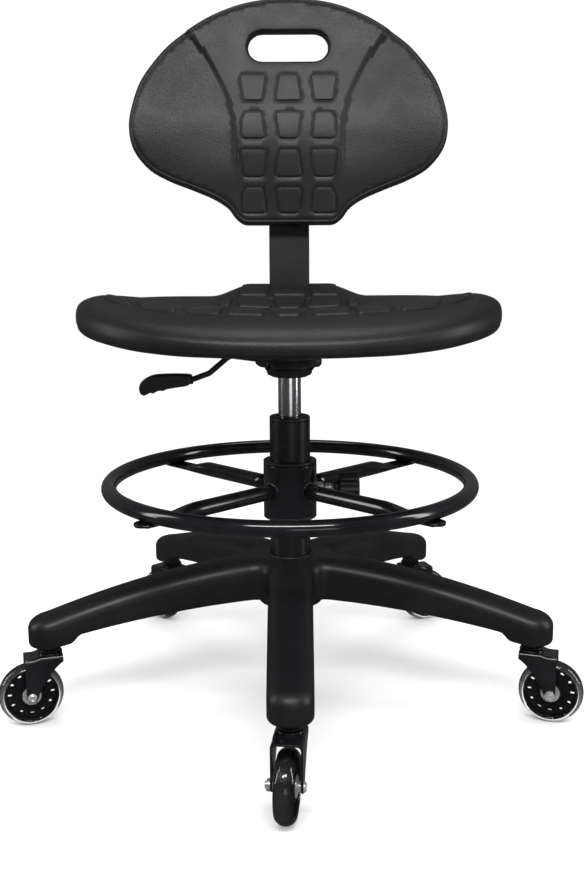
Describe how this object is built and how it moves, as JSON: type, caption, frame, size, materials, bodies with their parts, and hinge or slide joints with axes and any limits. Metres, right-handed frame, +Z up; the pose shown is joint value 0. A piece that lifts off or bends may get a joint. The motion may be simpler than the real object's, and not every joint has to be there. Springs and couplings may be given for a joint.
{
  "type": "drafting chair",
  "caption": "Tall work chair with a moulded seat and back, hand slot, adjustable foot ring, gas lift and a star base on swivelling wheels.",
  "frame": {"origin": "on the floor, on the axis of the column", "axes": "+Z up along the column; the sitter faces -Y; +X is to the right for a viewer in front of the chair"},
  "size_m": [0.694, 0.655, 0.8852],
  "materials": {
    "base_plastic": "satin moulded nylon",
    "steel_zinc": "zinc-plated steel",
    "lift_paint": "satin black paint",
    "lift_chrome": "polished chrome",
    "black_plastic": "fine-grained black",
    "rubber_buffer": "matt",
    "pu_skin": "self-skinned polyurethane with a fine grain",
    "board": "plywood, hidden",
    "mech_paint": "black powder coat",
    "ring_paint": "gloss black powder coat",
    "boss_metal": "bright plated",
    "fork_paint": "black, edges rubbed bright",
    "tyre_pu": "clear cast polyurethane",
    "core_plastic": "black nylon"
  },
  "bodies": {
    "base": {"star_base": "base_plastic", "caster_stems": "fork_paint", "lift_outer_tube": "lift_paint", "lift_guide_bush": "black_plastic", "thrust_bearing": "steel_zinc"},
    "lift_rod": {"piston_rod": "steel_zinc", "rod_clip": "steel_zinc", "rebound_buffer": "rubber_buffer"},
    "seat": {"lift_cylinder": "lift_chrome", "seat_socket": "mech_paint", "seat_plate": "mech_paint", "bar_channel": "mech_paint", "lever_bracket": "mech_paint", "seat_pad": "pu_skin", "seat_core_board": "board", "seat_bolts": "steel_zinc"},
    "valve": {"valve_pin": "steel_zinc"},
    "lever": {"lever_rod": "mech_paint", "lever_grip": "black_plastic"},
    "bar": {"back_bar": "mech_paint", "bar_end_cap": "black_plastic"},
    "bar_lock": {"bar_knob": "black_plastic"},
    "backrest": {"backrest_pad": "pu_skin", "back_core_board": "board", "back_bracket": "mech_paint", "back_screws": "steel_zinc"},
    "back_lock": {"back_knob": "black_plastic"},
    "ring_carrier": {"ring_bushes": "black_plastic"},
    "ring": {"foot_ring": "ring_paint", "ring_spokes": "ring_paint", "ring_screws": "ring_paint", "ring_hub": "ring_paint", "ring_boss": "boss_metal"},
    "ring_lock": {"ring_knob_stud": "boss_metal", "ring_knob": "black_plastic"},
    "caster_1": {"fork_1": "fork_paint", "axle_1": "steel_zinc"},
    "wheel_1": {"tyre_1": "tyre_pu", "core_1": "core_plastic", "bearings_1": "steel_zinc"},
    "caster_2": {"fork_2": "fork_paint", "axle_2": "steel_zinc"},
    "wheel_2": {"tyre_2": "tyre_pu", "core_2": "core_plastic", "bearings_2": "steel_zinc"},
    "caster_3": {"fork_3": "fork_paint", "axle_3": "steel_zinc"},
    "wheel_3": {"tyre_3": "tyre_pu", "core_3": "core_plastic", "bearings_3": "steel_zinc"},
    "caster_4": {"fork_4": "fork_paint", "axle_4": "steel_zinc"},
    "wheel_4": {"tyre_4": "tyre_pu", "core_4": "core_plastic", "bearings_4": "steel_zinc"},
    "caster_5": {"fork_5": "fork_paint", "axle_5": "steel_zinc"},
    "wheel_5": {"tyre_5": "tyre_pu", "core_5": "core_plastic", "bearings_5": "steel_zinc"}
  },
  "joints": [
    {"name": "caster_1_swivel", "type": "hinge", "parent": "base", "child": "caster_1", "pos_m": [0, -0.302, 0.09], "axis": [0, 0, 1], "continuous": true},
    {"name": "wheel_1_spin", "type": "hinge", "parent": "caster_1", "child": "wheel_1", "pos_m": [-0.00334, -0.32577, 0.038], "axis": [0.9903, -0.1392, 0], "continuous": true},
    {"name": "caster_2_swivel", "type": "hinge", "parent": "base", "child": "caster_2", "pos_m": [0.28722, -0.09332, 0.09], "axis": [0, 0, 1], "continuous": true},
    {"name": "wheel_2_spin", "type": "hinge", "parent": "caster_2", "child": "wheel_2", "pos_m": [0.31004, -0.10074, 0.038], "axis": [0.309, 0.9511, 0], "continuous": true},
    {"name": "caster_3_swivel", "type": "hinge", "parent": "base", "child": "caster_3", "pos_m": [0.17751, 0.24432, 0.09], "axis": [0, 0, 1], "continuous": true},
    {"name": "wheel_3_spin", "type": "hinge", "parent": "caster_3", "child": "wheel_3", "pos_m": [0.2002, 0.25214, 0.038], "axis": [-0.3256, 0.9455, 0], "continuous": true},
    {"name": "caster_4_swivel", "type": "hinge", "parent": "base", "child": "caster_4", "pos_m": [-0.17751, 0.24432, 0.09], "axis": [0, 0, 1], "continuous": true},
    {"name": "wheel_4_spin", "type": "hinge", "parent": "caster_4", "child": "wheel_4", "pos_m": [-0.19535, 0.26038, 0.038], "axis": [-0.6691, -0.7431, 0], "continuous": true},
    {"name": "caster_5_swivel", "type": "hinge", "parent": "base", "child": "caster_5", "pos_m": [-0.28722, -0.09332, 0.09], "axis": [0, 0, 1], "continuous": true},
    {"name": "wheel_5_spin", "type": "hinge", "parent": "caster_5", "child": "wheel_5", "pos_m": [-0.31004, -0.10074, 0.038], "axis": [0.309, -0.9511, 0], "continuous": true},
    {"name": "seat_swivel", "type": "hinge", "parent": "base", "child": "lift_rod", "pos_m": [0, 0, 0.104], "axis": [0, 0, 1], "continuous": true},
    {"name": "lift_height", "type": "slide", "parent": "lift_rod", "child": "seat", "axis": [0, 0, 1], "range_m": [-0.045, 0.09]},
    {"name": "gas_lever", "type": "hinge", "parent": "seat", "child": "lever", "pos_m": [-0.034, -0.008, 0.424], "axis": [0, 1, 0], "range_deg": [0, 7], "stiffness_Nm_per_rad": 8, "springref_deg": -2.86},
    {"name": "valve_press", "type": "slide", "parent": "seat", "child": "valve", "axis": [0, 0, -1], "range_m": [0, 0.0047]},
    {"name": "bar_depth", "type": "slide", "parent": "seat", "child": "bar", "axis": [0, 1, 0], "range_m": [-0.025, 0.025]},
    {"name": "bar_knob_turn", "type": "hinge", "parent": "seat", "child": "bar_lock", "pos_m": [0, 0.092, 0.41], "axis": [0, 0, 1], "range_deg": [-360, 90]},
    {"name": "back_height", "type": "slide", "parent": "bar", "child": "backrest", "axis": [0, 0.0698, 0.9976], "range_m": [-0.03, 0.06]},
    {"name": "back_knob_turn", "type": "hinge", "parent": "backrest", "child": "back_lock", "pos_m": [0, 0.2356, 0.62423], "axis": [0, 0.9976, -0.0698], "range_deg": [-90, 360]},
    {"name": "ring_height", "type": "slide", "parent": "base", "child": "ring_carrier", "axis": [0, 0, 1], "range_m": [-0.045, 0.045]},
    {"name": "ring_turn", "type": "hinge", "parent": "ring_carrier", "child": "ring", "pos_m": [0, 0, 0.264], "axis": [0, 0, 1], "continuous": true},
    {"name": "ring_knob_turn", "type": "hinge", "parent": "ring", "child": "ring_lock", "pos_m": [0.06, 0, 0.263], "axis": [1, 0, 0], "range_deg": [-90, 360]}
  ],
  "couplings": [
    {"joint": "valve_press", "follows": "gas_lever", "m_per_rad": 0.038}
  ]
}
